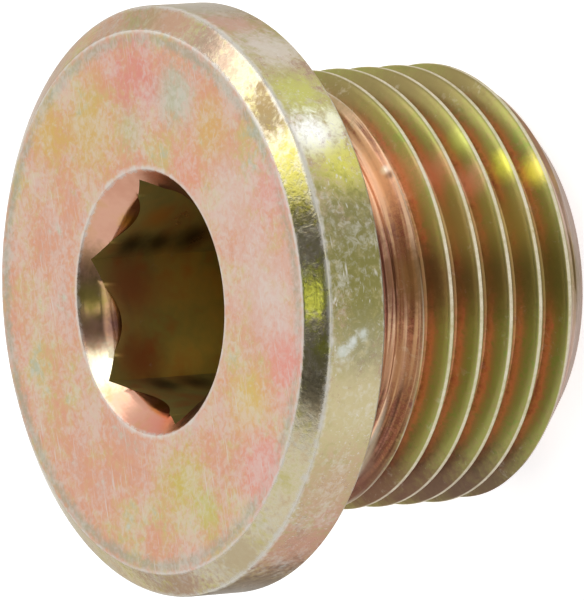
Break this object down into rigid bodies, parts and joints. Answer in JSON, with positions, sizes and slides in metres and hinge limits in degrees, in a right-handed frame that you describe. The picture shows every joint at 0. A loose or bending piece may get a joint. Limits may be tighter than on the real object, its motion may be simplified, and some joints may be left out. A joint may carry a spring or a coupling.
{
  "type": "hex socket screw plug",
  "caption": "Screw plug with a flat round collar, a right-hand parallel pipe thread, an undercut neck and a hexagon socket in its head.",
  "frame": {"origin": "centre of the thread end, in the plane that the plug stands on", "axes": "+Z along the thread's axis, from the thread end up to the head; +X through a corner of the hexagon socket"},
  "size_m": [0.022, 0.022, 0.015],
  "materials": {
    "passivated_steel": "zinc plated steel, yellow passivated, with edges worn pale"
  },
  "bodies": {
    "root": {"plug_body": "passivated_steel"}
  },
  "joints": []
}
